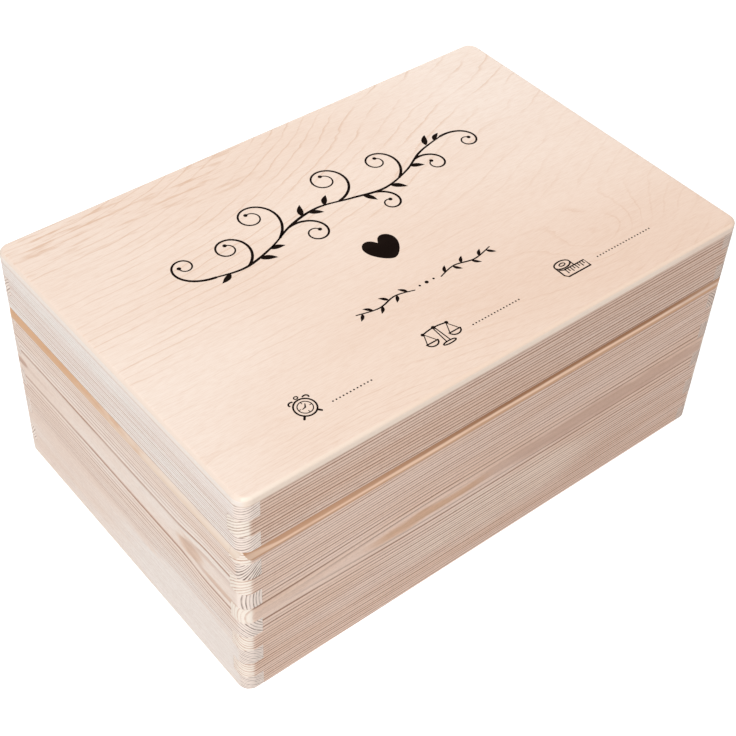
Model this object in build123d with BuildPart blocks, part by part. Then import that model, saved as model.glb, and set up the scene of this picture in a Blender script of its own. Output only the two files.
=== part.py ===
"""Finger-jointed keepsake box with a hinged lid, in millimetres.

The origin is the middle of the base. X runs along the front, Y from front to back and Z up.
The lid is closed. It turns about the hinge pins, which lie along X at the back of the joint.
"""

import os

from build123d import *

# Outside of the box
box_length = 300.0
box_width = 197.5
body_height = 100.9
lid_frame_height = 28.9
lid_gap = 0.3  # air between the body's rim and the closed lid
corner_radius = 6.2  # the four upright corners

# Boards
long_board_thickness = 9.5  # front and back
short_board_thickness = 10.0  # left and right
glue_gap = 0.1  # glue line round each finger

# Finger joints: the lowest finger of a frame belongs to its short boards
finger_pitch = 10.4
body_first_finger = 9.5
lid_first_finger = 9.6
thinnest_finger = 3.5

# Grip groove: a slanted cut along the outer edge of the body's rim
groove_height = 6.15
groove_depth = 1.8

# Plywood panels
top_panel_thickness = 5
top_panel_rounding = 2.2
bottom_panel_thickness = 4.0
bottom_panel_bearing = 5.0  # how far the panel reaches under each board
panel_clearance = 0.2

# Hinges
hinge_length = 25.0
hinge_inset = 50.0  # from the end of the box to the middle of a hinge
pin_inset = 1.3  # from the back of the box forward to the pin's axis
leaf_width = 7.2  # from the pin's axis to the leaf's free edge
leaf_thickness = 0.85
leaf_corner_radius = 1.0
knuckle_count = 3
knuckle_gap = 0.16
barrel_clearance = 0.3  # round the knuckles, in the wood and between the leaves
curl_slit = 0.2  # where the rolled sheet ends just short of the leaf
pin_radius = 0.9
pin_clearance = 0.05
pin_head_radius = 1.35
pin_head_height = 0.5
mortise_clearance = 0.15

# Hinge screws
screw_length = 9.0
screw_radius = 0.9
screw_head_radius = 1.7  # at the top of the head, which is as deep as the leaf
screw_slot_width = 0.4
screw_slot_depth = 0.4
screw_spacing = 14.0
screw_setback = 4.7  # from the pin's axis to the screws
screw_clearance = 0.05
screw_turn = 38.0  # each screw stopped this much further round than the last, in degrees

# Places worked out from the sizes above
lid_bottom = body_height + lid_gap
panel_bottom = lid_bottom + lid_frame_height
barrel_radius = pin_radius + pin_clearance + leaf_thickness
barrel_reach = barrel_radius + barrel_clearance
pin_y = box_width / 2 - pin_inset
pin_z = body_height + lid_gap / 2
hinge_places = {"left": hinge_inset - box_length / 2, "right": box_length / 2 - hinge_inset}
overrun = 5.0  # how far cutting shapes run past the wood
down, up = -1, 1  # the way into the wood from the body's rim and from the lid's underside


def finger_bands(first_finger, height):
    """Bottom and top of each finger above the frame's lower edge; even ones are the short boards'."""
    levels = [0.0]
    level = first_finger
    while height - level > thinnest_finger:
        levels.append(level)
        level += finger_pitch
    levels.append(height)
    return list(zip(levels, levels[1:]))


def add_blank(length, width, x, y, bottom, height):
    """Adds a plain board, length along X and width along Y, centred on x, y."""
    with BuildSketch(Plane.XY.offset(bottom)) as plan:
        with Locations((x, y)):
            Rectangle(length, width)
    extrude(plan.sketch, amount=height)


def cut_notches(bands, centres, bottom):
    """Cuts the gaps between a board's fingers, where the other boards' fingers go."""
    for low, high in bands:
        with BuildSketch(Plane.XY.offset(bottom + low - glue_gap / 2)) as notches:
            with Locations(*centres):
                Rectangle(
                    short_board_thickness + 2 * glue_gap, long_board_thickness + 2 * glue_gap
                )
        extrude(notches.sketch, amount=high - low + glue_gap, mode=Mode.SUBTRACT)


def trim_corners(bottom, height):
    """Trims what stands outside the box's rounded outline."""
    with BuildSketch(Plane.XY.offset(bottom)) as outline:
        RectangleRounded(box_length, box_width, corner_radius)
    extrude(outline.sketch, amount=height, mode=Mode.INTERSECT)


def add_long_board(side, bottom, height, bands):
    """Front board (side -1) or back board (side +1) of a frame."""
    y = side * (box_width - long_board_thickness) / 2
    end_x = (box_length - short_board_thickness) / 2
    add_blank(box_length, long_board_thickness, 0, y, bottom, height)
    cut_notches(bands[::2], [(-end_x, y), (end_x, y)], bottom)
    trim_corners(bottom, height)


def add_short_board(side, bottom, height, bands):
    """Left board (side -1) or right board (side +1) of a frame."""
    x = side * (box_length - short_board_thickness) / 2
    end_y = (box_width - long_board_thickness) / 2
    add_blank(short_board_thickness, box_width, x, 0, bottom, height)
    cut_notches(bands[1::2], [(x, -end_y), (x, end_y)], bottom)
    trim_corners(bottom, height)


def cut_groove():
    """Cuts the grip groove along all four sides; it runs out to a point at the rounded corners."""
    for plane, half_width in ((Plane.YZ, box_width / 2), (Plane.XZ, box_length / 2)):
        with BuildSketch(plane) as groove:
            with BuildLine():
                Polyline(
                    (half_width - groove_depth, body_height),
                    (half_width, body_height - groove_height),
                    (half_width + overrun, body_height - groove_height),
                    (half_width + overrun, body_height + overrun),
                    (half_width - groove_depth, body_height + overrun),
                    close=True,
                )
            make_face()
            mirror(about=Plane.YZ)
        extrude(groove.sketch, amount=box_length, both=True, mode=Mode.SUBTRACT)


def cut_rebate():
    """Cuts the step under the boards that the bottom panel lies in."""
    with BuildSketch() as rebate:
        Rectangle(
            box_length - 2 * (short_board_thickness - bottom_panel_bearing),
            box_width - 2 * (long_board_thickness - bottom_panel_bearing),
        )
    extrude(rebate.sketch, amount=bottom_panel_thickness, mode=Mode.SUBTRACT)


def screw_points(hinge_x):
    """X and Y of the two screws in one leaf."""
    return [(hinge_x + offset, pin_y - screw_setback) for offset in (-screw_spacing / 2, screw_spacing / 2)]


def cut_hinge_seats(face_z, inward):
    """Cuts the mortises for both leaves and barrels, and the screws' pilot holes."""
    leaf_seat_width = leaf_width + mortise_clearance
    barrel_seat_length = hinge_length + 2 * (pin_head_height + barrel_clearance)
    for x in hinge_places.values():
        with BuildSketch(Plane.XY.offset(face_z)) as leaf_seat:
            with Locations((x, pin_y - leaf_seat_width / 2)):
                Rectangle(hinge_length + 2 * mortise_clearance, leaf_seat_width)
        extrude(leaf_seat.sketch, amount=inward * leaf_thickness, mode=Mode.SUBTRACT)
        with BuildSketch(Plane.XY.offset(pin_z)) as barrel_seat:
            with Locations((x, pin_y - barrel_reach)):
                Rectangle(
                    barrel_seat_length, barrel_reach + overrun, align=(Align.CENTER, Align.MIN)
                )
        extrude(barrel_seat.sketch, amount=inward * barrel_reach, mode=Mode.SUBTRACT)
        with BuildSketch(Plane.XY.offset(face_z)) as pilot_holes:
            with Locations(*screw_points(x)):
                Circle(screw_radius + screw_clearance)
        extrude(pilot_holes.sketch, amount=inward * screw_length, mode=Mode.SUBTRACT)


def add_leaf(hinge_x, face_z, inward, own_knuckles):
    """Adds a hinge leaf: a plate let in flush with face_z, rolled round the pin at its own knuckles."""
    with BuildSketch(Plane.XY.offset(face_z)) as plate:
        with Locations((hinge_x, pin_y - barrel_reach)):
            Rectangle(hinge_length, leaf_width - barrel_reach, align=(Align.CENTER, Align.MAX))
        fillet(plate.vertices().group_by(Axis.Y)[0], leaf_corner_radius)
    extrude(plate.sketch, amount=inward * leaf_thickness)
    pitch = hinge_length / knuckle_count
    for index in own_knuckles:
        knuckle_x = hinge_x - hinge_length / 2 + index * pitch + knuckle_gap / 2
        with BuildSketch(Plane.YZ.offset(knuckle_x)) as knuckle:
            with Locations((pin_y, pin_z)):
                Circle(barrel_radius)
            with Locations((pin_y - barrel_reach / 2, face_z + inward * leaf_thickness / 2)):
                Rectangle(barrel_reach, leaf_thickness)
            with Locations((pin_y - barrel_reach / 2, face_z - inward * curl_slit / 2)):
                Rectangle(barrel_reach, curl_slit, mode=Mode.SUBTRACT)
            with Locations((pin_y, pin_z)):
                Circle(pin_radius + pin_clearance, mode=Mode.SUBTRACT)
        extrude(knuckle.sketch, amount=pitch - knuckle_gap)
    for x, y in screw_points(hinge_x):
        with BuildSketch(Plane((x, y, 0), x_dir=(1, 0, 0), z_dir=(0, -1, 0))) as countersink:
            with BuildLine():
                Polyline(
                    (0, face_z),
                    (screw_head_radius + screw_clearance, face_z),
                    (screw_radius + screw_clearance, face_z + inward * leaf_thickness),
                    (0, face_z + inward * leaf_thickness),
                    close=True,
                )
            make_face()
        revolve(countersink.sketch, axis=Axis((x, y, 0), (0, 0, 1)), mode=Mode.SUBTRACT)


def add_pin(hinge_x):
    """Adds a hinge pin through all the knuckles, with a flat head at each end."""
    half_length = (hinge_length - knuckle_gap) / 2
    with BuildSketch(Plane.YZ.offset(hinge_x)) as shank:
        with Locations((pin_y, pin_z)):
            Circle(pin_radius)
    extrude(shank.sketch, amount=half_length, both=True)
    for side in (-1, 1):
        with BuildSketch(Plane.YZ.offset(hinge_x + side * half_length)) as head:
            with Locations((pin_y, pin_z)):
                Circle(pin_head_radius)
        extrude(head.sketch, amount=side * pin_head_height)


def add_screws(face_z, flip):
    """Adds the countersunk screws of both leaves let into one face."""
    points = [point for x in hinge_places.values() for point in screw_points(x)]
    for index, (x, y) in enumerate(points):
        with Locations(Location((x, y, face_z), (flip, 0, index * screw_turn))):
            add(screw.part)


with BuildPart() as screw:
    with BuildSketch(Plane.XZ):
        with BuildLine():
            Polyline(
                (0, 0),
                (screw_head_radius, 0),
                (screw_radius, -leaf_thickness),
                (screw_radius, -screw_length),
                (0, -screw_length),
                close=True,
            )
        make_face()
    revolve(axis=Axis.Z)
    with BuildSketch():
        Rectangle(3 * screw_head_radius, screw_slot_width)
    extrude(amount=-screw_slot_depth, mode=Mode.SUBTRACT)

body_bands = finger_bands(body_first_finger, body_height)
lid_bands = finger_bands(lid_first_finger, lid_frame_height)

# Body boards
with BuildPart() as body_front_board:
    add_long_board(-1, 0, body_height, body_bands)
    cut_groove()
    cut_rebate()

with BuildPart() as body_back_board:
    add_long_board(1, 0, body_height, body_bands)
    cut_groove()
    cut_rebate()
    cut_hinge_seats(body_height, down)

with BuildPart() as body_left_board:
    add_short_board(-1, 0, body_height, body_bands)
    cut_groove()
    cut_rebate()

with BuildPart() as body_right_board:
    add_short_board(1, 0, body_height, body_bands)
    cut_groove()
    cut_rebate()

with BuildPart() as bottom_panel:
    with BuildSketch():
        Rectangle(
            box_length - 2 * (short_board_thickness - bottom_panel_bearing + panel_clearance),
            box_width - 2 * (long_board_thickness - bottom_panel_bearing + panel_clearance),
        )
    extrude(amount=bottom_panel_thickness)

# Lid frame and panel
with BuildPart() as lid_front_rail:
    add_long_board(-1, lid_bottom, lid_frame_height, lid_bands)

with BuildPart() as lid_back_rail:
    add_long_board(1, lid_bottom, lid_frame_height, lid_bands)
    cut_hinge_seats(lid_bottom, up)

with BuildPart() as lid_left_rail:
    add_short_board(-1, lid_bottom, lid_frame_height, lid_bands)

with BuildPart() as lid_right_rail:
    add_short_board(1, lid_bottom, lid_frame_height, lid_bands)

with BuildPart() as lid_top_panel:
    with BuildSketch(Plane.XY.offset(panel_bottom)):
        RectangleRounded(box_length, box_width, corner_radius)
    extrude(amount=top_panel_thickness)
    fillet(lid_top_panel.edges().group_by(Axis.Z)[-1], min(top_panel_rounding, 0.9 * top_panel_thickness))

pieces = {
    "body_front_board": body_front_board,
    "body_back_board": body_back_board,
    "body_left_board": body_left_board,
    "body_right_board": body_right_board,
    "bottom_panel": bottom_panel,
    "lid_front_rail": lid_front_rail,
    "lid_back_rail": lid_back_rail,
    "lid_left_rail": lid_left_rail,
    "lid_right_rail": lid_right_rail,
    "lid_top_panel": lid_top_panel,
}

# Hinges: the body's leaf has the outer knuckles and holds the pin, and the lid's leaf turns on it
for place, hinge_x in hinge_places.items():
    with BuildPart() as body_leaf:
        add_leaf(hinge_x, body_height, down, range(0, knuckle_count, 2))
    with BuildPart() as lid_leaf:
        add_leaf(hinge_x, lid_bottom, up, range(1, knuckle_count, 2))
    with BuildPart() as pin:
        add_pin(hinge_x)
    pieces[f"{place}_hinge_body_leaf"] = body_leaf
    pieces[f"{place}_hinge_lid_leaf"] = lid_leaf
    pieces[f"{place}_hinge_pin"] = pin

with BuildPart() as body_hinge_screws:
    add_screws(body_height, 0)

with BuildPart() as lid_hinge_screws:
    add_screws(lid_bottom, 180)

pieces["body_hinge_screws"] = body_hinge_screws
pieces["lid_hinge_screws"] = lid_hinge_screws

os.makedirs("parts", exist_ok=True)
for name, piece in pieces.items():
    piece.part.label = name
    export_step(piece.part, f"parts/{name}.step")
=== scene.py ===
"""Looks of the finger-jointed keepsake box: sanded pine boards, birch plywood, brass hinges and the
ornaments printed on the lid.

The wood is procedural and solid: growth rings run round a pith line along each board, so faces,
end grain and cuts all agree. Object space is metres. Materials and ornaments are given in
millimetres in the same frame: x runs from -150 at the left of the box to 150 at its right, y from
-99 at the front to 99 at the back, and z is the height above the floor.
"""

import math
from typing import NamedTuple

import bpy
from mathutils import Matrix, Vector


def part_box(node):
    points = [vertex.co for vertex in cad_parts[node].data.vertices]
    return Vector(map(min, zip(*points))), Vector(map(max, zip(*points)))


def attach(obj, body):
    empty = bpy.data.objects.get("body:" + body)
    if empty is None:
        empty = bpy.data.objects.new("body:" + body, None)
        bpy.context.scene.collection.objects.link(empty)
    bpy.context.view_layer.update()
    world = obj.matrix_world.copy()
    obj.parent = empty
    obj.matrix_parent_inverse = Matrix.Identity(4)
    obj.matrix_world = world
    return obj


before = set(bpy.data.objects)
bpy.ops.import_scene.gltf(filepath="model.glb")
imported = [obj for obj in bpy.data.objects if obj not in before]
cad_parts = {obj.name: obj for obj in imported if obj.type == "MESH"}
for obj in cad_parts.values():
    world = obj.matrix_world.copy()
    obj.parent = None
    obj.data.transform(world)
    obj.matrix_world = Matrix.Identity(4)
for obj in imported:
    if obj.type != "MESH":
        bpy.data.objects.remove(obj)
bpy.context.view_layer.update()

MM = 0.001
LID = "lid"


def heights(node):
    """Lowest and highest level of a CAD node at rest, in millimetres."""
    return [round(corner[2] / MM, 2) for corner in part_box(node)]


TOP = heights("lid_top_panel")[1]
GROOVE_TOP = heights("body_front_board")[1]
GROOVE_HEIGHT = 6.15  # as in part.py


# ---------------------------------------------------------------------------------------------
# Colour and node helpers
# ---------------------------------------------------------------------------------------------

def srgb(red, green, blue):
    """Linear RGBA of a display colour given as 0 to 255."""
    def linear(value):
        value /= 255
        return value / 12.92 if value <= 0.04045 else ((value + 0.055) / 1.055) ** 2.4
    return (linear(red), linear(green), linear(blue), 1.0)


class Pattern(NamedTuple):
    """A kind of noise. Pace is how often it repeats in a millimetre: along the grain or X, across
    it, and upwards. Shift keeps patterns of one seed apart."""
    pace: tuple
    shift: float = 0.0
    detail: float = 2.0
    roughness: float = 0.5


class Graph:
    """Builds the nodes of one material; positions inside it are in millimetres."""

    def __init__(self, name):
        self.material = bpy.data.materials.new(name)
        self.material.use_nodes = True
        self.tree = self.material.node_tree
        self.shader = self.tree.nodes["Principled BSDF"]
        coordinates = self.node("ShaderNodeTexCoord")
        self.place = self.scaled(coordinates.outputs["Object"], (1 / MM,) * 3)
        self.x, self.y, self.z = self.split(self.place)
        self.facing_x, self.facing_y, self.facing_z = self.split(coordinates.outputs["Normal"])

    def node(self, kind, inputs=(), **settings):
        """Adds a node; inputs pairs socket names or numbers with values or with sockets to link."""
        made = self.tree.nodes.new(kind)
        for name, value in settings.items():
            setattr(made, name, value)
        for key, value in dict(inputs).items():
            if isinstance(value, bpy.types.NodeSocket):
                self.tree.links.new(value, made.inputs[key])
            else:
                made.inputs[key].default_value = value
        return made

    def math(self, operation, *values):
        return self.node("ShaderNodeMath", enumerate(values), operation=operation).outputs[0]

    def add(self, *values):
        total = values[0]
        for value in values[1:]:
            total = self.math("ADD", total, value)
        return total

    def times(self, *values):
        product = values[0]
        for value in values[1:]:
            product = self.math("MULTIPLY", product, value)
        return product

    def smooth(self, value, low, high, start=0.0, end=1.0):
        """Goes from start to end as value goes from low to high, easing in and out."""
        if high < low:
            low, high, start, end = high, low, end, start
        inputs = enumerate((value, low, high, start, end))
        return self.node("ShaderNodeMapRange", inputs, interpolation_type="SMOOTHSTEP").outputs[0]

    def band(self, value, low, high, soft):
        """1 between low and high, and 0 outside, with edges soft wide on either side."""
        rise = self.smooth(value, low - soft, low + soft)
        return self.times(rise, self.smooth(value, high + soft, high - soft))

    def hill(self, x0, y0, half_x, half_y, place=None):
        """A round hill of height 1, and about 0.37 at half_x or half_y from its middle."""
        x, y = place or (self.x, self.y)
        across = self.times(self.add(x, -x0), 1 / half_x)
        along = self.times(self.add(y, -y0), 1 / half_y)
        squares = self.add(self.times(across, across), self.times(along, along))
        return self.math("EXPONENT", self.times(squares, -1.0))

    def scaled(self, vector, factors):
        return self.node("ShaderNodeVectorMath", {0: vector, 1: factors}, operation="MULTIPLY").outputs[0]

    def split(self, vector):
        return self.node("ShaderNodeSeparateXYZ", {0: vector}).outputs[:]

    def join(self, x, y, z):
        return self.node("ShaderNodeCombineXYZ", {0: x, 1: y, 2: z}).outputs[0]

    def noise(self, pattern, seed=0.0, place=None):
        """Noise from 0 to 1 about 0.5, at place or else at the point itself."""
        shift = seed + pattern.shift
        moved = self.node(
            "ShaderNodeVectorMath",
            {0: self.place if place is None else place, 1: pattern.pace, 2: (shift, shift * 1.7, -shift)},
            operation="MULTIPLY_ADD",
        ).outputs[0]
        node = self.node(
            "ShaderNodeTexNoise",
            {"Vector": moved, "Scale": 1.0, "Detail": pattern.detail, "Roughness": pattern.roughness},
        )
        return node.outputs["Fac"]

    def swing(self, reach, pattern, seed=0.0, place=None):
        """Noise about 0, reach wide in all."""
        return self.times(self.add(self.noise(pattern, seed, place), -0.5), reach)

    def mix(self, factor, first, second, blend="MIX"):
        inputs = {0: factor, 6: first, 7: second}
        return self.node("ShaderNodeMix", inputs, data_type="RGBA", blend_type=blend).outputs[2]

    def fade(self, value, low, high, first, second, most=1.0):
        """A colour that goes from first to second, or to most of it, as value goes from low to high."""
        return self.mix(self.smooth(value, low, high, 0.0, most), first, second)

    def finish(self, colour, roughness, bump_height, bump_mm, **constants):
        """Wires the shader; constants go on the shader's own sockets."""
        self.tree.links.new(colour, self.shader.inputs["Base Color"])
        self.tree.links.new(roughness, self.shader.inputs["Roughness"])
        inputs = {"Height": bump_height, "Distance": bump_mm * MM, "Strength": 1.0}
        bump = self.node("ShaderNodeBump", inputs)
        self.tree.links.new(bump.outputs[0], self.shader.inputs["Normal"])
        for name, value in constants.items():
            self.shader.inputs[name.replace("_", " ")].default_value = value
        return self.material


# ---------------------------------------------------------------------------------------------
# Pine
# ---------------------------------------------------------------------------------------------

LATE = srgb(190, 148, 122)
FRONT_LATE = srgb(150, 106, 80)
LEFT_LATE = srgb(176, 130, 104)
AMBER = srgb(214, 160, 112)
BROWN = srgb(196, 156, 134)
PALE_FRONT = srgb(255, 236, 220)
PALE_LEFT = srgb(255, 248, 242)

FRONT_TONES = (srgb(251, 226, 211), srgb(246, 215, 195))
LEFT_TONES = (srgb(254, 241, 231), srgb(249, 229, 215))
LID_FRONT_TONES = (srgb(246, 221, 205), srgb(241, 210, 190))
LID_LEFT_TONES = (srgb(255, 251, 246), srgb(253, 242, 235))

END_PALE = srgb(253, 237, 226)
FRONT_END_PALE = srgb(255, 243, 230)
RIGHT_END_PALE = srgb(226, 204, 190)
END_LINE = srgb(104, 76, 62)
FRONT_END_LINE = srgb(192, 140, 112)
BACK_END_LINE = srgb(150, 118, 100)
LID_FRONT_END_LINE = srgb(160, 116, 94)
LID_LEFT_END_LINE = srgb(140, 110, 96)

DRIFT = Pattern((1 / 110, 1 / 30, 1 / 30), 0.0, detail=1)
SHIVER = Pattern((1 / 28, 1 / 5, 1 / 5), 7.3)
FADING = Pattern((1 / 60, 1 / 2.4, 1 / 2.4), 41.0, detail=1)
PATCH = Pattern((1 / 120, 1 / 22, 1 / 14), 11.0)
FRAYING = Pattern((1 / 26, 1 / 4, 1 / 4), 31.0)
FIBRE = Pattern((1 / 14, 4.0, 4.0), 5.0, roughness=0.65)
GRIT = Pattern((0.5, 1.5, 1.5), 29.0, roughness=0.7)
FLECK = Pattern((1 / 6, 2.2, 2.2), 17.0, detail=1)
PORE = Pattern((0.4, 4.0, 4.0), 23.0)

DRIFT_REACH = 2.0  # how far the rings stray in all, slowly and in small waves
SHIVER_REACH = 0.35
UNEVEN_YEARS = ((0.83, 0.09), (2.09, 0.05))  # pace and reach of two waves of wide and narrow rings
LATE_BEGINS = (0.46, 0.88)  # the part of a year over which the late wood darkens
LATE_ENDS = (1.0, 0.94)
BOLD_STEP = 2.4  # radians from one ring's strength to the next
FAINTEST = 0.5  # the strength of the weakest ring
FADED = 0.65  # what is left of a ring's line where it fades
STREAK_FRAY = 1.4  # how far a streak's outline strays, as a share of its half height
STREAK_EDGE = (0.25, 0.75)
CALM_EDGE = 3.0
END_BOLD_EDGE = 2.0
END_BOLD_TINT = 0.07  # how far the wood between the end grain's bold lines darkens with them

# How much of the late wood's colour each pattern adds at most
FIBRE_SHARE = 0.15
GRIT_SHARE = 0.11
FLECK_SHARE = 0.22
PORE_SHARE = 0.18

END_FACING = (0.04, 0.36)  # how far a face turns to the board's end before it shows end grain


class Streak(NamedTuple):
    """A stain in the grain, in millimetres, and how strongly it shows."""
    along: float
    height: float
    half_length: float
    half_height: float
    strength: float
    colour: tuple


class Board(NamedTuple):
    """What one pine board looks like, in millimetres."""
    name: str
    grain: str                        # the axis that it runs along
    pith: tuple                       # the heart of the tree: its place across the board, and its height
    ring_width: float
    seed: float
    tones: tuple                      # the two colours that the early wood drifts between
    taper: float = 0.0                # how much nearer the pith the rings come for each millimetre along
    first_ring: float = 0.0           # a distance from the pith where a ring ends
    bend_in: tuple = ()               # from, to, amount: a stretch over which they bend in to the pith
    crowd: tuple = ()                 # distance, years per millimetre: closer rings beyond a distance
    wobble: float = 1.0               # how far the rings stray, as a share of the usual
    contrast: float = 1.0             # how strongly the rings show on the sides
    calm: tuple = ()                  # low, high, share: heights between which they show by a share
    flat_share: float = 1.0           # how much of them shows where they lie flat to the face
    flat_range: tuple = (0.20, 0.34)  # the steepness over which the rest comes back
    bold_phase: float = 0.0           # says which rings are bold
    late: tuple = LATE
    streaks: tuple = ()
    painted_shade: tuple = ()                 # from, to, colour: painted shade, a tone that multiplies the board along it
    end_pale: tuple = END_PALE
    end_line: tuple = END_LINE
    end_bold: tuple = ()              # low, high, amount: heights with stronger lines in the end grain


def growth(g, board, along, depth, place):
    """The year that each point grew in, and how steeply its ring stands to the face, from 0 to 1."""
    drift = g.swing(DRIFT_REACH * board.wobble, DRIFT, board.seed, place)
    shiver = g.swing(SHIVER_REACH * board.wobble, SHIVER, board.seed, place)
    across = g.add(depth, -board.pith[0])
    up = g.add(g.z, -board.pith[1])
    distance = g.math("SQRT", g.add(g.times(across, across), g.times(up, up)))
    steep = g.math("DIVIDE", g.math("ABSOLUTE", up), distance)

    distance = g.add(distance, -board.first_ring, g.add(drift, shiver), g.times(along, board.taper))
    if board.bend_in:
        start, end, amount = board.bend_in
        distance = g.add(distance, g.smooth(along, start, end, 0.0, amount))
    waves = [
        g.times(g.math("SINE", g.times(distance, pace / board.ring_width)), reach)
        for pace, reach in UNEVEN_YEARS
    ]
    years = g.add(g.times(distance, 1 / board.ring_width), g.add(*waves))
    if board.crowd:
        start, more = board.crowd
        beyond = g.math("MAXIMUM", g.add(distance, -start), 0.0)
        years = g.add(years, g.times(beyond, more))
    return years, steep


def late_lines(g, board, years, place):
    """The dark line that closes each year, from 0 to 1."""
    ring = g.math("FRACT", years)
    year = g.math("FLOOR", years)
    bold = g.math("SINE", g.add(g.times(year, BOLD_STEP), board.bold_phase))
    strength = g.smooth(bold, -1.0, 1.0, FAINTEST, 1.0)
    fading = g.smooth(g.noise(FADING, board.seed, place), 0.34, 0.60, FADED, 1.0)
    strength = g.times(strength, fading)
    return g.times(g.smooth(ring, *LATE_BEGINS), g.smooth(ring, *LATE_ENDS), strength)


def early_wood(g, board, along, place):
    """The colour between the rings' lines, with the board's painted shade and streaks."""
    patch = g.noise(PATCH, board.seed, place)
    colour = g.fade(patch, 0.3, 0.7, *board.tones)
    # Painted shade: the board darkens along its length.
    if board.painted_shade:
        start, end, tone = board.painted_shade
        colour = g.mix(g.smooth(along, start, end), colour, tone, "MULTIPLY")
    for streak in board.streaks:
        fraying = g.swing(STREAK_FRAY * streak.half_height, FRAYING, board.seed, place)
        above = g.add(g.z, g.times(g.add(streak.height, fraying), -1.0))
        reach = g.hill(streak.along, 0.0, streak.half_length, streak.half_height, (along, above))
        reach = g.smooth(reach, *STREAK_EDGE)
        colour = g.mix(g.times(reach, streak.strength), colour, streak.colour)
    return colour


def side_grain(g, board, early, late_wood, steep, fibre, place):
    """The colour of the board's faces and edges."""
    shown = g.smooth(steep, *board.flat_range, board.contrast * board.flat_share, board.contrast)
    if board.calm:
        low, high, share = board.calm
        calm = g.band(g.z, low, high, CALM_EDGE)
        shown = g.times(shown, g.add(1.0, g.times(calm, share - 1.0)))
    colour = g.mix(g.times(late_wood, shown), early, board.late)
    grit = g.noise(GRIT, board.seed, place)
    fleck = g.noise(FLECK, board.seed, place)
    colour = g.fade(fibre, 0.35, 0.75, colour, board.late, FIBRE_SHARE * board.contrast)
    colour = g.fade(grit, 0.42, 0.68, colour, board.late, GRIT_SHARE * board.contrast)
    return g.fade(fleck, 0.70, 0.80, colour, board.late, FLECK_SHARE * board.contrast)


def end_grain(g, board, late_wood, place):
    """The colour of the board's ends, where the rings show as arcs."""
    lines = late_wood
    if board.end_bold:
        low, high, amount = board.end_bold
        extra = g.times(g.band(g.z, low, high, END_BOLD_EDGE), amount)
        lines = g.add(g.times(late_wood, g.add(1.0, extra)), g.times(extra, END_BOLD_TINT))
    colour = g.mix(lines, board.end_pale, board.end_line)
    pore = g.noise(PORE, board.seed, place)
    return g.fade(pore, 0.5, 0.8, colour, board.end_line, PORE_SHARE)


def pine(board):
    """The material of one board: growth rings round its pith, and the groove where it is cut."""
    g = Graph(board.name)
    if board.grain == "X":
        along, depth, end_facing = g.x, g.y, g.facing_x
    else:
        along, depth, end_facing = g.y, g.x, g.facing_y
    place = g.join(along, depth, g.z)
    years, steep = growth(g, board, along, depth, place)
    late_wood = late_lines(g, board, years, place)
    fibre = g.noise(FIBRE, board.seed, place)

    early = early_wood(g, board, along, place)
    side_colour = side_grain(g, board, early, late_wood, steep, fibre, place)
    end_colour = end_grain(g, board, late_wood, place)
    colour = g.fade(g.math("ABSOLUTE", end_facing), *END_FACING, side_colour, end_colour)
    colour = groove(g, colour)

    roughness = g.smooth(fibre, 0.2, 0.8, 0.58, 0.72)
    relief = g.add(g.times(late_wood, 0.5), g.times(fibre, 0.6))
    return g.finish(colour, roughness, relief, 0.04, Specular_IOR_Level=0.35)


# The slanted cut under the lid. Its colours paint in its light and shade: the light on the slope,
# the lid's shadow on its upper part, and an orange tint that is partly stain and partly painted
# light bounced in the cut. Rise goes from 0 at its foot to 1 at the rim. Pairs of colours go from
# the left to the right of the box, or from its front to its back.

CUT_EDGE = (srgb(194, 152, 124), srgb(202, 160, 130))
CUT_LIT = (srgb(240, 204, 177), srgb(226, 200, 182))
CUT_LIT_CORNER = srgb(218, 186, 162)
CUT_SHADOW = (srgb(202, 156, 124), srgb(160, 114, 82))
CUT_SHADOW_RIGHT = srgb(186, 146, 118)
SHORT_CUT = (srgb(240, 222, 206), srgb(219, 174, 136))
SHORT_CUT_FOOT = srgb(214, 182, 152)
# painted light that pales the cut on the short sides towards the rim, under the lid
SHORT_CUT_PAINTED_LIGHT = srgb(246, 226, 206)
# orange patches: partly stain and partly painted light bounced in the cut
CUT_STAIN_AND_BOUNCE_LIGHT = srgb(190, 138, 98)

CUT_FACING = (0.2, 0.36)  # how far the cut's slope faces up
CUT_FACING_EDGE = 0.03
CUT_WAVE = Pattern((1 / 30, 1 / 30, 1 / 3), 40.0)
CUT_WAVE_REACH = 0.10
MOTTLE = Pattern((1 / 16, 1 / 16, 1 / 2), 44.0, detail=3, roughness=0.6)
MOTTLE_REACH = 90  # how far the mottle moves the place where pale wood turns to amber


def long_side_cut(g, rise):
    """The cut on the front and the back: an edge at its foot, a lit slope, and the shadow on top."""
    edge = g.fade(g.x, -110, -60, *CUT_EDGE)
    near_corner = g.smooth(g.x, -149, -126, 1.0, 0.0)
    lit = g.fade(g.x, 90, 140, *CUT_LIT)
    lit = g.mix(near_corner, lit, CUT_LIT_CORNER)
    lit_from = g.smooth(g.x, -50, 0, 0.08, 0.15)
    slope = g.fade(g.add(rise, g.times(lit_from, -1.0)), 0.0, 0.12, edge, lit)

    shadow = g.fade(g.x, -110, 10, *CUT_SHADOW)
    shadow = g.fade(g.x, 105, 145, shadow, CUT_SHADOW_RIGHT)
    shadow_rise = g.add(g.smooth(g.x, -120, 20, -0.04, 0.07), g.times(near_corner, 0.35))
    return g.fade(g.add(rise, g.times(shadow_rise, -1.0)), 0.27, 0.44, slope, shadow)


def short_side_cut(g, rise, mottle):
    """The cut on the left and the right: pale near the front, and amber towards the back, with
    painted light that pales it towards the rim.
    """
    straying = g.add(g.y, g.times(g.add(mottle, -0.5), MOTTLE_REACH))
    colour = g.fade(straying, -40, 45, *SHORT_CUT)
    colour = g.mix(g.smooth(rise, 0.0, 0.5, 0.35, 0.0), colour, SHORT_CUT_FOOT)
    # Painted light: paler towards the rim, where the lid's shade falls.
    return g.fade(rise, 0.6, 1.0, colour, SHORT_CUT_PAINTED_LIGHT, 0.75)


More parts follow.
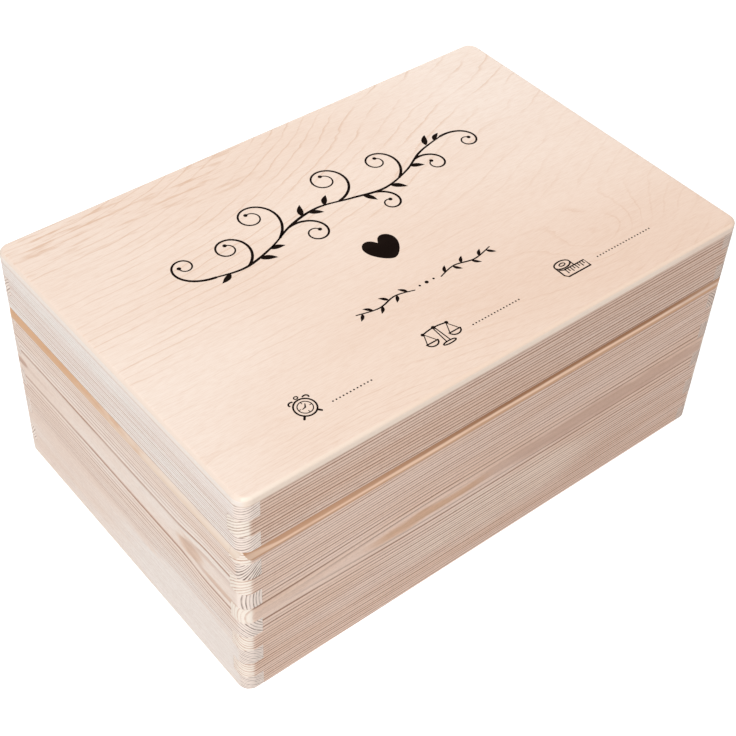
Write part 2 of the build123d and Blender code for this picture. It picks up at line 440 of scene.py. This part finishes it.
def groove(g, colour):
    """Colours the cut with painted light and shade, and leaves the rest of the board as it is."""
    rise = g.times(g.add(g.z, GROOVE_HEIGHT - GROOVE_TOP), 1 / GROOVE_HEIGHT)
    rise = g.add(rise, g.swing(CUT_WAVE_REACH, CUT_WAVE))
    mottle = g.noise(MOTTLE)
    sideways = g.math("ABSOLUTE", g.facing_x)
    cut_colour = g.fade(sideways, 0.5, 0.8, long_side_cut(g, rise), short_side_cut(g, rise, mottle))
    # Orange patches: partly stain and partly painted light bounced in the cut.
    cut_colour = g.fade(mottle, 0.45, 0.75, cut_colour, CUT_STAIN_AND_BOUNCE_LIGHT, 0.22)
    return g.mix(g.band(g.facing_z, *CUT_FACING, CUT_FACING_EDGE), colour, cut_colour)


# Painted shade: the front boards darken towards the right, away from the key lamp.
FRONT_PAINTED_SHADE = (-110, 70, srgb(243, 241, 240))

BOARDS = {
    "body_front_board": Board(
        "pine_body_front", "X", (-108.75, 55.0), 1.7, 1.0, FRONT_TONES, first_ring=8.66,
        bend_in=(-142, -35, -1.9), wobble=0.4, contrast=1.2, calm=(6, 48, 1.1), flat_share=0.12,
        flat_range=(0.12, 0.60), late=FRONT_LATE, painted_shade=FRONT_PAINTED_SHADE, end_pale=FRONT_END_PALE,
        end_line=FRONT_END_LINE, end_bold=(49, 62, -0.45),
        streaks=(
            Streak(-42, 54.3, 44, 3.6, 0.62, AMBER),
            Streak(78, 54.5, 100, 6.4, 0.62, BROWN),
            Streak(5, 30, 75, 17, 0.6, PALE_FRONT),
        ),
    ),
    "body_back_board": Board(
        "pine_body_back", "X", (122.0, 38.0), 1.6, 2.0, FRONT_TONES, taper=0.012, end_line=BACK_END_LINE,
    ),
    "body_left_board": Board(
        "pine_body_left", "Y", (-119.5, 66.8), 1.5, 3.0, LEFT_TONES, first_ring=27.54,
        bend_in=(-47, -74, -0.95), crowd=(4.5, 0.27), wobble=0.35, calm=(-9, 34, 0.25),
        flat_share=0.5, flat_range=(0.20, 0.26), bold_phase=-3.23, late=LEFT_LATE,
        end_bold=(78, 89, 0.7),
        streaks=(
            Streak(-58, 67, 12, 7.0, 0.42, AMBER),
            Streak(-82, 61.0, 18, 2.2, 0.35, AMBER),
            Streak(-68, 72.6, 11, 1.8, 0.2, AMBER),
            Streak(-60, 14, 80, 26, 0.75, PALE_LEFT),
            Streak(90, 67.5, 6, 3.0, 0.7, BROWN),
        ),
    ),
    "body_right_board": Board(
        "pine_body_right", "Y", (126.0, 72.0), 1.4, 4.0, LEFT_TONES, taper=0.01, end_pale=RIGHT_END_PALE,
    ),
    "lid_front_rail": Board(
        "pine_lid_front", "X", (-140.0, 40.0), 1.7, 5.0, LID_FRONT_TONES, taper=0.003, wobble=0.6,
        contrast=1.55, late=FRONT_LATE, painted_shade=FRONT_PAINTED_SHADE, end_pale=FRONT_END_PALE,
        end_line=LID_FRONT_END_LINE,
    ),
    "lid_back_rail": Board(
        "pine_lid_back", "X", (60.0, 85.0), 1.5, 6.0, FRONT_TONES, taper=0.006, end_line=BACK_END_LINE,
    ),
    "lid_left_rail": Board(
        "pine_lid_left", "Y", (-125.0, 48.0), 1.45, 7.0, LID_LEFT_TONES, taper=0.003, wobble=0.5,
        contrast=1.15, calm=(123, 140, 0.4), end_line=LID_LEFT_END_LINE,
    ),
    "lid_right_rail": Board(
        "pine_lid_right", "Y", (150.0, 20.0), 1.4, 8.0, LEFT_TONES, taper=0.004, end_pale=RIGHT_END_PALE,
    ),
}


# ---------------------------------------------------------------------------------------------
# Plywood
# ---------------------------------------------------------------------------------------------

VENEER_TONES = (srgb(251, 230, 214), srgb(246, 221, 203))
# paler patches on the top; the one at the front left is painted light
VENEER_PALE_AND_PAINTED_LIGHT = srgb(255, 240, 228)
VENEER_LINE = srgb(214, 166, 128)
VENEER_FRONT = srgb(251, 247, 244)  # multiplies the strip along the front
# the rounded edge of the top: pale tones that are partly a painted highlight, brightest at the left
ROUND_OVER_AND_PAINTED_HIGHLIGHT = (srgb(253, 236, 220), srgb(251, 228, 209))
ROUND_OVER_SHORT_SIDE = srgb(240, 221, 206)

PLY = (srgb(255, 238, 222), srgb(247, 227, 211))
PLY_SHORT_SIDE = srgb(255, 246, 238)
PLY_FIBRE = srgb(236, 210, 192)
PLY_LOWER = srgb(226, 196, 176)
PLY_CORE = srgb(226, 198, 178)
PLY_JOINT = srgb(206, 172, 146)
# painted shadow along the lower arris, where the panel sits on the frame
PLY_PAINTED_SHADOW_LINE = srgb(190, 160, 138)

# Heights of the core and of the glue joint beside it, as shares of the panel from either face
CORE_FROM = 0.28
JOINT_FROM, JOINT_TO = 0.27, 0.29

KNIFE_DRIFT = Pattern((1 / 60, 1 / 26, 1 / 200))
KNIFE_SHIVER = Pattern((1 / 12, 1 / 4, 1 / 200), 4.0)
LINE_FADING = Pattern((1 / 45, 1 / 14, 1 / 50), 9.0)
VENEER_PATCH = Pattern((1 / 150, 1 / 70, 1 / 50), 2.0)
VENEER_STAIN = Pattern((1 / 26, 1 / 2.8, 1 / 50), 15.0, detail=3, roughness=0.6)
VENEER_FIBRE = Pattern((1 / 5, 2.6, 2.6), 5.0, detail=3, roughness=0.6)
EDGE_FIBRE = Pattern((0.5, 0.5, 5.0), 21.0)


def veneer(g, seed, figure, fibre):
    """The face veneer. figure gives the height field that the knife cut through: each whole
    number of it is a ring's end."""
    level = g.add(figure(g), g.swing(1.1, KNIFE_DRIFT, seed), g.swing(0.35, KNIFE_SHIVER, seed))
    ring = g.math("FRACT", level)
    line = g.times(g.smooth(ring, 0.80, 0.97), g.smooth(ring, 1.0, 0.98))
    strength = g.smooth(g.noise(LINE_FADING, seed), 0.35, 0.65, 0.1, 1.0)
    back_half = g.smooth(g.add(g.y, g.times(g.x, -0.3)), -45, 40, 0.25, 1.0)
    figured = g.add(g.times(g.hill(95, -60, 42, 30), 0.35), g.times(g.hill(-60, -84, 120, 14), 0.5))
    strength = g.times(strength, g.add(back_half, figured))

    colour = g.fade(g.noise(VENEER_PATCH, seed), 0.3, 0.7, *VENEER_TONES)
    # Paler patches; the one at the front left is painted light, where the lamp falls brightest.
    light = g.add(
        g.hill(-140, -50, 60, 70),
        g.hill(125, 70, 60, 75),
        g.times(g.hill(-125, 80, 50, 45), 0.5),
    )
    colour = g.mix(g.times(light, 0.6), colour, VENEER_PALE_AND_PAINTED_LIGHT)
    colour = g.mix(g.times(line, strength, 0.40), colour, VENEER_LINE)
    stain = g.smooth(g.noise(VENEER_STAIN, seed), 0.5, 0.68)
    back_left = g.times(g.smooth(g.y, 50, 92), g.smooth(g.x, 10, -50))
    colour = g.mix(g.times(stain, g.add(0.06, g.times(back_left, 0.5))), colour, VENEER_LINE)
    return g.fade(fibre, 0.35, 0.8, colour, VENEER_LINE, 0.22)


def plies(g, seed, bottom, top, sideways):
    """The panel's edge: a cross-grained core between two outer plies, darker near its lower face,
    and a painted shadow line along its lower arris, where the panel sits on the frame.
    """
    thickness = top - bottom
    colour = g.fade(g.x, 90, 125, *PLY)
    colour = g.fade(sideways, 0.4, 0.8, colour, PLY_SHORT_SIDE)
    colour = g.fade(g.noise(EDGE_FIBRE, seed), 0.3, 0.7, colour, PLY_FIBRE, 0.25)
    colour = g.fade(g.z, bottom + 0.3 * thickness, bottom, colour, PLY_LOWER, 0.4)
    core = g.band(g.z, bottom + CORE_FROM * thickness, top - CORE_FROM * thickness, 0.06)
    colour = g.mix(g.times(core, 0.10), colour, PLY_CORE)
    joints = g.add(
        g.band(g.z, bottom + JOINT_FROM * thickness, bottom + JOINT_TO * thickness, 0.05),
        g.band(g.z, top - JOINT_TO * thickness, top - JOINT_FROM * thickness, 0.05),
    )
    colour = g.mix(g.times(joints, 0.15), colour, PLY_JOINT)
    # Painted shadow: a thin darker line along the lower arris, where the panel sits on the frame.
    return g.fade(g.z, bottom + 0.5, bottom + 0.1, colour, PLY_PAINTED_SHADOW_LINE, 0.4)


def plywood(name, node, seed, figure):
    """Birch plywood of a CAD panel: rotary-cut face veneers, and plies that show on its edge."""
    g = Graph(name)
    bottom, top = heights(node)
    fibre = g.noise(VENEER_FIBRE, seed)
    colour = veneer(g, seed, figure, fibre)

    facing_x, facing_y = (g.math("ABSOLUTE", facing) for facing in (g.facing_x, g.facing_y))
    facing_up = g.math("ABSOLUTE", g.facing_z)
    # The rounded edge: its pale colour is partly a painted highlight, brightest at the left.
    round_over_and_painted_highlight = g.fade(g.x, -95, -35, *ROUND_OVER_AND_PAINTED_HIGHLIGHT)
    short_side = g.add(facing_x, g.times(facing_y, -1.0))
    round_over_and_painted_highlight = g.fade(short_side, -0.15, 0.15, round_over_and_painted_highlight, ROUND_OVER_SHORT_SIDE)
    colour = g.fade(facing_up, 0.99, 0.80, colour, round_over_and_painted_highlight)
    front = g.times(g.smooth(g.y, -25, -80), g.smooth(g.x, -150, -110))
    colour = g.mix(front, colour, VENEER_FRONT, "MULTIPLY")
    colour = g.fade(facing_up, 0.40, 0.15, colour, plies(g, seed, bottom, top, facing_x))
    roughness = g.smooth(fibre, 0.2, 0.8, 0.55, 0.68)
    return g.finish(colour, roughness, fibre, 0.02, Specular_IOR_Level=0.35)


def lid_figure(g):
    """Rings that run level on the left, sweep up and spread on the right, and close in an eye."""
    rise = g.times(g.math("POWER", g.math("MAXIMUM", g.add(g.x, 30.0), 0.0), 2.0), 0.0014)
    rings_per_mm = g.smooth(g.x, -120, 90, 1 / 5.0, 1 / 10.5)
    slope = g.times(g.add(g.y, 12.0, g.times(rise, -1.0)), rings_per_mm)
    tongue = g.times(g.hill(-160, -82, 125, 9), 3.4)
    eye = g.times(g.hill(90, -66, 30, 19), 3.6)
    return g.add(slope, tongue, eye)


def bottom_figure(g):
    """Level rings with one long eye in the middle."""
    return g.add(g.times(g.y, 1 / 9.0), g.times(g.hill(20, 10, 160, 40), 5.0))


# ---------------------------------------------------------------------------------------------
# Brass
# ---------------------------------------------------------------------------------------------

HINGE_BRASS = srgb(208, 180, 128)
SCREW_BRASS = srgb(214, 188, 138)
CLOUD = Pattern((0.35, 0.35, 0.35), detail=3)
SCRATCH = Pattern((0.5, 9.0, 9.0), 3.0)
CLOUDED = 0.86  # how much light the duller places give back


def brass(name, colour, seed):
    """Brushed brass, duller in clouds."""
    g = Graph(name)
    cloud = g.noise(CLOUD, seed)
    scratch = g.noise(SCRATCH, seed)
    dull = tuple(CLOUDED * channel for channel in colour[:3]) + (1.0,)
    tint = g.fade(cloud, 0.3, 0.7, colour, dull)
    roughness = g.add(g.smooth(cloud, 0.3, 0.7, 0.24, 0.34), g.times(scratch, 0.08))
    return g.finish(tint, roughness, scratch, 0.01, Metallic=1.0)


def dress_nodes():
    """Gives every CAD node its material."""
    materials = {node: pine(board) for node, board in BOARDS.items()}
    materials["lid_top_panel"] = plywood("birch_lid", "lid_top_panel", 1.0, lid_figure)
    materials["bottom_panel"] = plywood("birch_bottom", "bottom_panel", 5.0, bottom_figure)
    hinge_brass = brass("brass_hinge", HINGE_BRASS, 1.0)
    screw_brass = brass("brass_screw", SCREW_BRASS, 2.0)
    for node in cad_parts:
        if "hinge" in node:
            materials[node] = screw_brass if "screws" in node else hinge_brass
    for node, material in materials.items():
        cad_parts[node].data.materials[0] = material


dress_nodes()


# ---------------------------------------------------------------------------------------------
# Ornaments printed on the lid
# ---------------------------------------------------------------------------------------------

INK_THICKNESS = 0.02
INK_STEP = 0.0015  # strokes that cross lie this far apart, so that none meets another face to face
INK_LAYERS = 7
INK_BLACK = srgb(26, 18, 15)
INK_THIN = srgb(46, 35, 30)

WEAR = Pattern((1.2, 5.0, 1.0), 3.0, detail=3, roughness=0.6)
BROAD_WEAR = Pattern((1 / 18, 1 / 6, 1.0), 8.0)


def ink():
    """Matt black print, thinner over the wood's pores."""
    g = Graph("print_black")
    worn = g.noise(WEAR)
    colour = g.fade(worn, 0.45, 0.8, INK_BLACK, INK_THIN, 0.5)
    colour = g.fade(g.noise(BROAD_WEAR), 0.4, 0.7, colour, INK_THIN, 0.2)
    return g.finish(colour, g.smooth(worn, 0.2, 0.8, 0.6, 0.8), worn, 0.01, Specular_IOR_Level=0.0)


INK = ink()
ROUND_END = (70, 45, 20)  # degrees round a stroke's end, where it has a point on either side


def pen_spots(line, widths, closed):
    """Each point of a line with its direction and half the pen's width: (x, y, dx, dy, half)."""
    count = len(line)
    spots = []
    for index, (x, y) in enumerate(line):
        before = line[index - 1] if closed or index else line[0]
        after = line[(index + 1) % count] if closed or index < count - 1 else line[-1]
        length = math.hypot(after[0] - before[0], after[1] - before[1]) or 1.0
        place = index / (count - 1) * (len(widths) - 1)
        low = min(int(place), max(len(widths) - 2, 0))
        high = min(low + 1, len(widths) - 1)
        half = (widths[low] + (widths[high] - widths[low]) * (place - low)) / 2
        spots.append((x, y, (after[0] - before[0]) / length, (after[1] - before[1]) / length, half))
    return spots


def pen_sides(spots):
    """The right and the left border of an inked line."""
    right = [(x + dy * half, y - dx * half) for x, y, dx, dy, half in spots]
    left = [(x - dy * half, y + dx * half) for x, y, dx, dy, half in spots]
    return right, left


class Print:
    """Collects flat inked shapes, in millimetres on the lid's top, into one piece."""

    def __init__(self, name):
        self.name = name
        self.points, self.faces = [], []
        self.layer = 0

    def add_points(self, points):
        """Adds the points on the lid and again on top of the ink; gives both rows' first numbers."""
        low = len(self.points)
        rise = TOP + INK_THICKNESS + self.layer % INK_LAYERS * INK_STEP
        self.layer += 1
        for height in (TOP, rise):
            self.points += [(x * MM, y * MM, height * MM) for x, y in points]
        return low, low + len(points)

    def slab(self, outline, top_faces):
        """Adds a thin closed slab; the outline runs round its outside."""
        low, high = self.add_points(outline)
        for face in top_faces:
            self.faces.append([high + index for index in face])
            self.faces.append([low + index for index in reversed(face)])
        for index in range(len(outline)):
            after = (index + 1) % len(outline)
            self.faces.append([low + index, low + after, high + after, high + index])

    def shape(self, outline):
        """Fills an outline that runs anticlockwise."""
        self.slab(outline, [list(range(len(outline)))])

    def disc(self, x, y, radius, steps=16):
        """Fills a circle."""
        self.shape(arc(x, y, radius, radius, steps=steps))

    def stroke(self, line, widths):
        """Inks an open line with a pen, round at both ends; widths are spread evenly along it."""
        spots = pen_spots(line, widths, closed=False)
        start, end = [], []
        for turn in ROUND_END:
            push, keep = math.sin(math.radians(turn)), math.cos(math.radians(turn))
            x, y, dx, dy, half = spots[0]
            start.append((x - dx * half * push, y - dy * half * push, dx, dy, half * keep))
            x, y, dx, dy, half = spots[-1]
            end.insert(0, (x + dx * half * push, y + dy * half * push, dx, dy, half * keep))
        right, left = pen_sides(start + spots + end)
        last = 2 * len(right) - 1
        quads = [[i, i + 1, last - i - 1, last - i] for i in range(len(right) - 1)]
        self.slab(right + left[::-1], quads)

    def ring(self, line, width):
        """Inks a closed line that runs anticlockwise."""
        right, left = pen_sides(pen_spots(line, (width,), closed=True))
        total = len(line)
        low_out, high_out = self.add_points(right + left)
        low_in, high_in = low_out + total, high_out + total
        for i in range(total):
            j = (i + 1) % total
            self.faces += [
                [high_out + i, high_out + j, high_in + j, high_in + i],
                [low_out + j, low_out + i, low_in + i, low_in + j],
                [low_out + i, low_out + j, high_out + j, high_out + i],
                [low_in + j, low_in + i, high_in + i, high_in + j],
            ]

    def build(self):
        """Makes the piece, which rides on the lid."""
        mesh = bpy.data.meshes.new(self.name)
        mesh.from_pydata(self.points, [], self.faces)
        mesh.materials.append(INK)
        piece = bpy.data.objects.new(self.name, mesh)
        bpy.context.scene.collection.objects.link(piece)
        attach(piece, LID)


def between(p, q, r, s, t):
    """The value t of the way from q to r on a smooth curve (Catmull-Rom) through p, q, r and s."""
    square = (2 * p - 5 * q + 4 * r - s) * t * t
    cube = (3 * q - p - 3 * r + s) * t ** 3
    return 0.5 * (2 * q + (r - p) * t + square + cube)


def curve(points, step=1.0):
    """A smooth line through the points, in steps of about step millimetres."""
    line = []
    padded = [points[0]] + list(points) + [points[-1]]
    for index in range(1, len(padded) - 2):
        a, b, c, d = padded[index - 1:index + 3]
        pieces = max(3, round(math.dist(b, c) / step))
        for part in range(pieces):
            line.append(tuple(between(*values, part / pieces) for values in zip(a, b, c, d)))
    line.append(tuple(points[-1]))
    return line


def around(x, y, radius, degrees):
    """The point at radius from x, y, anticlockwise from the right."""
    turn = math.radians(degrees)
    return x + radius * math.cos(turn), y + radius * math.sin(turn)


def arc(x, y, radius_x, radius_y, start=0.0, end=360.0, steps=24):
    """Points of an ellipse, anticlockwise in degrees; a whole turn leaves its last point out."""
    count = steps if end - start == 360 else steps + 1
    turns = [math.radians(start + (end - start) * step / steps) for step in range(count)]
    return [(x + radius_x * math.cos(turn), y + radius_y * math.sin(turn)) for turn in turns]


LEAF_STEPS = 8


def leaf(x, y, angle, length, width, bend=0.0):
    """Outline of a pointed leaf that starts at x, y and runs in the direction of angle. It is
    widest before its middle, and bend is how far it sags to one side, as a share of its length."""
    turn = math.radians(angle)
    sides = []
    for side, order in ((-1, range(0, LEAF_STEPS)), (1, range(LEAF_STEPS, 0, -1))):
        for step in order:
            t = step / LEAF_STEPS
            across = side * width / 2 * math.sin(math.pi * t ** 0.8) + bend * length * t * (1 - t) * 2
            sides.append((t * length, across))
    return [
        (x + u * math.cos(turn) - v * math.sin(turn), y + u * math.sin(turn) + v * math.cos(turn))
        for u, v in sides
    ]


def curl(x, y, angle, length, bend_start, bend_end):
    """A tendril that leaves x, y at angle and winds in; bends are in degrees a millimetre."""
    line = [(x, y)]
    steps = round(length)
    for step in range(steps):
        t = (step + 0.5) / steps
        angle += (bend_start + (bend_end - bend_start) * t ** 1.6) * length / steps
        x += math.cos(math.radians(angle)) * length / steps
        y += math.sin(math.radians(angle)) * length / steps
        line.append((x, y))
    return line


def heart_print():
    """The heart in the middle of the lid, drawn as one half and its mirror image."""
    heart = Print("print_heart")
    x0, y0 = -3.3, -10.9
    side = (
        (0, 4.6), (2.0, 7.4), (4.7, 8.5), (7.5, 7.4), (9.2, 4.4),
        (8.9, 0.6), (6.9, -3.3), (4.2, -6.3), (1.8, -8.0), (0, -8.5),
    )
    half = curve(side, 0.6)
    whole = half + [(-x, y) for x, y in half[-2:0:-1]]
    outline = [(x0 + x, y0 + y) for x, y in whole]
    heart.shape(outline[::-1])
    heart.build()


def flourish_print():
    """A winding stem with curled tendrils, leaves and buds, rising to the right."""
    vine = Print("print_flourish")
    stem = (
        (-79, 19), (-64, 16.5), (-46, 21), (-28, 29), (-10, 32),
        (8, 28), (26, 24.5), (44, 29), (60, 37), (77, 41),
    )
    vine.stroke(curve(stem), (0.9, 1.5, 1.0, 1.6, 1.1, 1.6, 1.0, 1.3, 0.8))
    tendrils = (  # x, y, angle, length, and the bend at its start and end
        (-79, 19, 172, 50, -2.0, -20), (77, 41, 8, 42, -2.5, -22), (-62, 16.6, 28, 58, 3.2, 17),
        (-38, 24.6, 36, 70, 2.2, 15.5), (-30, 28.2, 14, 48, -3.6, -18), (2, 29.8, 8, 70, 3.0, 14.5),
        (20, 25, -18, 34, -4.0, -22), (38, 27, 34, 56, 2.6, 18), (54, 34, 14, 34, -4.4, -20),
    )
    for tendril in tendrils:
        line = curl(*tendril)
        vine.stroke(line, (1.5, 1.3, 1.0, 0.7))
        vine.disc(*line[-1], 1.1)
    leaves = (  # x, y, angle, length, width
        (-72, 17.2, 205, 8, 3.0), (-55, 18, -30, 9, 3.2), (-47, 20.6, -15, 8, 3.0), (-20, 31, 62, 9, 3.2),
        (-6, 31.6, 48, 8, 3.0), (-16, 31.6, -32, 8, 3.0), (14, 26.4, -62, 8, 3.0), (30, 24.8, -42, 9, 3.2),
        (66, 39.4, 55, 9, 3.2), (72, 40.6, 30, 7, 2.6), (48, 31, -28, 8, 3.0),
    )
    for x, y, angle, length, width in leaves:
        vine.shape(leaf(x, y, angle, length, width, 0.1))
    vine.build()


def garland_print():
    """Two thin leafy sprays on either side of three dots."""
    garland = Print("print_garland")
    middle, dots_y = -3.0, -41.6
    right_stem = ((8, -42.6), (18, -40.2), (29, -42.4), (40.5, -40.0))
    leaf_angles = (52, -52, 48, -48, 46, -46, 44)
    first_leaf, leaf_spacing, leaf_length, leaf_width, leaf_bend = 4, 5, 5.2, 1.8, 0.1

    for x, radius in ((middle, 1.0), (middle - 4.2, 0.6), (middle + 4.2, 0.6)):
        garland.disc(x, dots_y, radius, 14)
    for side in (-1, 1):
        line = curve([(middle + side * x, y) for x, y in right_stem])
        garland.stroke(line, (0.6, 0.9, 0.6))
        for index, turn in zip(range(first_leaf, len(line) - 2, leaf_spacing), leaf_angles):
            angle = turn if side > 0 else 180 - turn
            bend = leaf_bend if (turn > 0) == (side > 0) else -leaf_bend
            garland.shape(leaf(*line[index], angle, leaf_length, leaf_width, bend))
    garland.build()


def clock_print():
    """An alarm clock with two bells and two feet."""
    clock = Print("print_clock")
    x, y = -96.6, -71.8
    clock.ring(arc(x, y, 5.2, 5.2, steps=40), 0.85)
    clock.ring(arc(x, y, 3.5, 3.5, steps=32), 0.5)
    for hour_mark in range(0, 360, 90):
        clock.stroke([around(x, y, radius, hour_mark) for radius in (2.4, 3.1)], (0.4,))
    clock.stroke([(x, y), (x + 1.1, y + 1.7)], (0.8, 0.45))
    clock.stroke([(x, y), (x - 1.7, y - 0.4)], (0.65, 0.4))
    for bell in (52, 128):
        clock.stroke(arc(*around(x, y, 6.0, bell), 1.5, 1.2, bell - 75, bell + 75, 10), (0.8,))
    for foot in (-50, -130):
        clock.stroke([around(x, y, radius, foot) for radius in (5.6, 7.2)], (1.1,))
    clock.ring(arc(x, y + 6.8, 0.95, 0.75, steps=14), 0.6)
    clock.build()


def scales_print():
    """A pair of scales: a post on a foot, and a pan on either side of the beam."""
    scales = Print("print_scales")
    x, top, foot = -20.8, -66.8, -78.2
    scales.stroke([(x - 0.5, top - 0.8), (x - 1.1, foot + 0.8)], (0.6,))
    scales.stroke([(x + 0.5, top - 0.8), (x + 1.1, foot + 0.8)], (0.6,))
    half_beam = ((7.0, 0.9), (3.2, 0.2))
    beam = [(x - reach, top - drop) for reach, drop in half_beam]
    beam += [(x, top)]
    beam += [(x + reach, top - drop) for reach, drop in half_beam[::-1]]
    scales.stroke(curve(beam), (0.8,))
    for knob, radius in ((beam[0], 0.95), (beam[2], 1.1), (beam[-1], 0.95)):
        scales.disc(*knob, radius, 14)
    scales.ring(arc(x, foot, 3.6, 0.9, steps=24), 0.75)
    for side in (-1, 1):
        hook_x = x + side * 6.6
        for edge in (-2.8, 2.8):
            scales.stroke([(hook_x, top - 1.2), (hook_x + edge, foot + 4.4)], (0.5,))
        scales.stroke([(hook_x - 3.3, foot + 4.3), (hook_x + 3.3, foot + 4.3)], (0.75,))
        scales.stroke(arc(hook_x, foot + 4.3, 3.1, 2.5, 180, 360, 16), (0.8,))
    scales.build()


def tape_print():
    """A measuring tape, part of it drawn out."""
    tape = Print("print_tape")
    for half_x, half_y, steps, width in ((4.6, 2.5, 30, 0.8), (1.7, 0.9, 20, 0.65)):
        tape.ring(arc(56.2, -70.2, half_x, half_y, steps=steps), width)
    tape.stroke([(51.6, -70.4), (51.6, -76.6), (52.8, -78.4), (67.0, -78.4)], (0.85,))
    tape.stroke([(60.8, -70.4), (60.8, -73.2)], (0.7,))
    tape.stroke([(52.4, -72.6), (54.2, -73.6), (67.0, -73.6), (67.0, -78.4)], (0.75,))
    for mark in range(8):
        x = 54.8 + 1.55 * mark
        tape.stroke([(x, -73.7), (x, -75.6 if mark % 2 else -76.6)], (0.6,))
    tape.build()


def write_in_print():
    """Dotted lines to write on, one beside each picture."""
    dots = Print("print_write_in_lines")
    spacing, line_y, radius = 1.9, -76.0, 0.44
    for start, end in ((-85.0, -64.0), (-5.0, 23.0), (74.0, 109.0)):
        count = round((end - start) / spacing)
        for index in range(count + 1):
            dots.disc(start + (end - start) * index / count, line_y, radius, 10)
    dots.build()


heart_print()
flourish_print()
garland_print()
clock_print()
scales_print()
tape_print()
write_in_print()


# ---------------------------------------------------------------------------------------------
# Floor, light and camera
# ---------------------------------------------------------------------------------------------

WHITE = (1.0, 1.0, 1.0, 1.0)
FLOOR_GREY = (0.5, 0.5, 0.5, 1.0)
FLOOR_HALF = 3.0
FLOOR_DROP = 0.02 * MM  # keeps the floor clear of the box's underside
FLOOR_GLOW = 0.75  # with the light that falls on it, this shows as white
AMBIENT = 0.40
LAMP_AIM = (0.0, 0.0, 0.07)


def white_backdrop_factor(tree):
    """1 for rays from the camera or off metal and glass, and 0 for rays that light the box."""
    path = tree.nodes.new("ShaderNodeLightPath")
    total = path.outputs["Is Camera Ray"]
    for name in ("Is Glossy Ray", "Is Transmission Ray"):
        add = tree.nodes.new("ShaderNodeMath")
        add.operation = "MAXIMUM"
        tree.links.new(total, add.inputs[0])
        tree.links.new(path.outputs[name], add.inputs[1])
        total = add.outputs[0]
    return total


def make_world():
    """A white world to look at, which lights the box at the ambient level."""
    world = bpy.data.worlds.new("studio")
    bpy.context.scene.world = world
    world.use_nodes = True
    tree = world.node_tree
    background = tree.nodes["Background"]
    background.inputs["Color"].default_value = WHITE
    strength = tree.nodes.new("ShaderNodeMapRange")
    strength.inputs["To Min"].default_value = AMBIENT
    strength.inputs["To Max"].default_value = 1.0
    tree.links.new(white_backdrop_factor(tree), strength.inputs["Value"])
    tree.links.new(strength.outputs[0], background.inputs["Strength"])


def make_floor():
    """A white floor that keeps the box's shadow."""
    corners = [(x * FLOOR_HALF, y * FLOOR_HALF, 0) for x, y in ((-1, -1), (1, -1), (1, 1), (-1, 1))]
    mesh = bpy.data.meshes.new("floor")
    mesh.from_pydata(corners, [], [(0, 1, 2, 3)])
    floor = bpy.data.objects.new("floor", mesh)
    floor.location.z = -FLOOR_DROP
    bpy.context.scene.collection.objects.link(floor)

    material = bpy.data.materials.new("floor_white")
    material.use_nodes = True
    tree = material.node_tree
    shader = tree.nodes["Principled BSDF"]
    shader.inputs["Base Color"].default_value = FLOOR_GREY
    shader.inputs["Roughness"].default_value = 0.9
    shader.inputs["Specular IOR Level"].default_value = 0.0
    shader.inputs["Emission Color"].default_value = WHITE
    glow = tree.nodes.new("ShaderNodeMath")
    glow.operation = "MULTIPLY"
    glow.inputs[1].default_value = FLOOR_GLOW
    tree.links.new(white_backdrop_factor(tree), glow.inputs[0])
    tree.links.new(glow.outputs[0], shader.inputs["Emission Strength"])
    mesh.materials.append(material)


def make_lamp(name, place, size, power):
    """A round soft lamp that points at the box."""
    lamp = bpy.data.lights.new(name, "AREA")
    lamp.shape = "DISK"
    lamp.size = size
    lamp.energy = power
    holder = bpy.data.objects.new(name, lamp)
    holder.location = place
    holder.rotation_euler = (Vector(LAMP_AIM) - Vector(place)).to_track_quat("-Z", "Y").to_euler()
    bpy.context.scene.collection.objects.link(holder)


def make_camera():
    """The photograph's camera, as fitted to the box's outline."""
    camera = bpy.data.cameras.new("camera")
    camera.sensor_fit = "HORIZONTAL"
    camera.sensor_width = 36.0
    camera.lens = 71.839
    camera.shift_x = 0.041184
    camera.shift_y = 0.043460
    camera.clip_start = 0.01
    holder = bpy.data.objects.new("camera", camera)
    holder.location = (-0.3608897, -0.4124218, 0.5820409)
    holder.rotation_euler = [math.radians(angle) for angle in (44.26209, -1.35853, -38.22139)]
    bpy.context.scene.collection.objects.link(holder)
    bpy.context.scene.camera = holder


make_world()
make_floor()
make_lamp("key", (-2.17, -1.68, 2.61), size=2.0, power=102.0)
make_lamp("fill", (2.2, 2.4, 1.1), size=1.5, power=35.0)
make_camera()
bpy.context.scene.view_settings.view_transform = "Standard"
